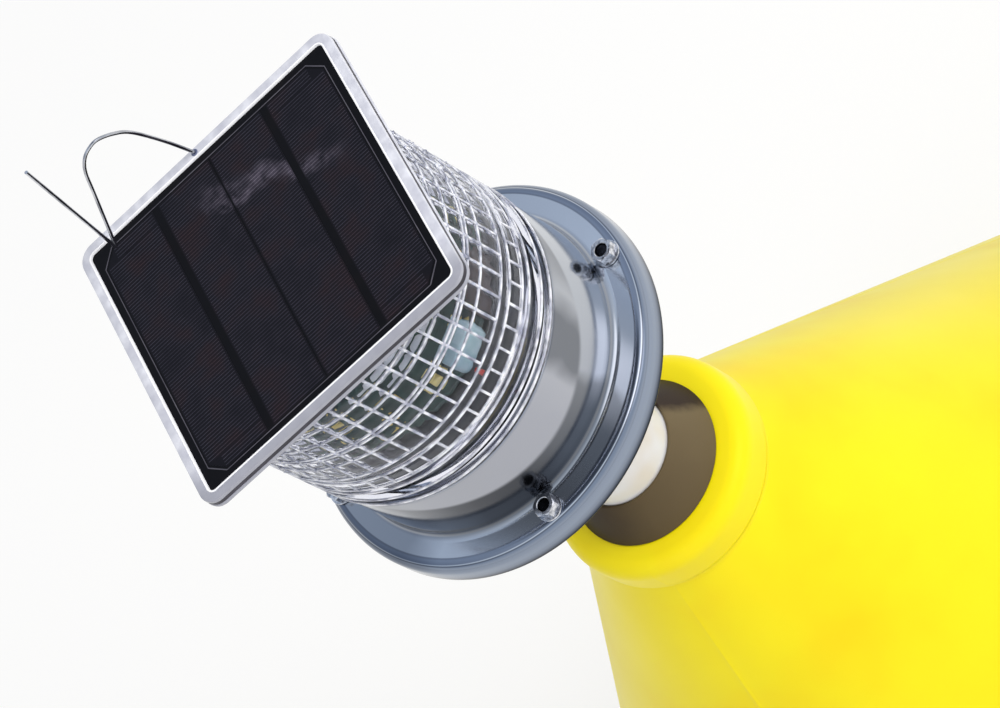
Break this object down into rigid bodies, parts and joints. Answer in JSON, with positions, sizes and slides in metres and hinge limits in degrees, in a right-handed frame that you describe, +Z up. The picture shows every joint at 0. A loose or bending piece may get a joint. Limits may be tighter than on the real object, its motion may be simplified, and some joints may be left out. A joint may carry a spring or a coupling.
{
  "type": "solar-lit navigation buoy",
  "caption": "Double-cone float with a solar lantern on a short mast, a weighted tail rod, and a mooring swivel with a shackle.",
  "frame": {"origin": "on the buoy's axis at its waterline", "axes": "+Z up along the buoy's axis, +X and +Y square to the sides of the solar panel"},
  "size_m": [0.6, 0.6, 1.5283],
  "materials": {
    "yellow_polyethylene": "rotationally moulded, soft gloss",
    "white_pipe": "extruded pipe, glossy",
    "dark_rubber": "turned, satin",
    "polished_steel": "spun stainless sheet, mirror polished",
    "clear_lens": "clear moulded plastic",
    "panel_rim": "clear moulded plastic",
    "solar_glass": "dark cells under clear plastic",
    "dark_plastic": "moulded",
    "white_plastic": "moulded",
    "circuit_board": "solder mask",
    "galvanised": "hot-dip galvanised",
    "cast_iron": "painted cast iron"
  },
  "bodies": {
    "float": {"hull": "yellow_polyethylene", "mast_pipe": "white_pipe", "mast_flange": "white_pipe", "neck_plug": "dark_rubber", "lantern_pan": "polished_steel", "lens": "clear_lens", "lamp_drum": "dark_plastic", "lamp_board": "circuit_board", "reflector_core": "white_plastic", "battery_block": "dark_plastic", "panel_frame": "panel_rim", "solar_glass": "solar_glass", "bird_wire": "polished_steel", "tail_plate": "galvanised", "tail_rod": "galvanised", "tail_sleeve": "galvanised", "upper_weight": "cast_iron", "lower_weight": "cast_iron", "tail_nut": "galvanised", "swivel_barrel": "galvanised", "base_bolt_1": "polished_steel", "base_bolt_2": "polished_steel", "base_bolt_3": "polished_steel", "base_bolt_4": "polished_steel"},
    "swivel": {"swivel_eye": "galvanised"},
    "shackle": {"shackle_bow": "galvanised", "shackle_pin": "galvanised", "shackle_nut": "galvanised"}
  },
  "joints": [
    {"name": "swivel_turn", "type": "hinge", "parent": "float", "child": "swivel", "pos_m": [0, 0, -0.5418], "axis": [0, 0, 1], "continuous": true},
    {"name": "shackle_swing", "type": "hinge", "parent": "swivel", "child": "shackle", "pos_m": [0, 0, -0.5818], "axis": [0, 1, 0], "range_deg": [-80, 80]}
  ]
}
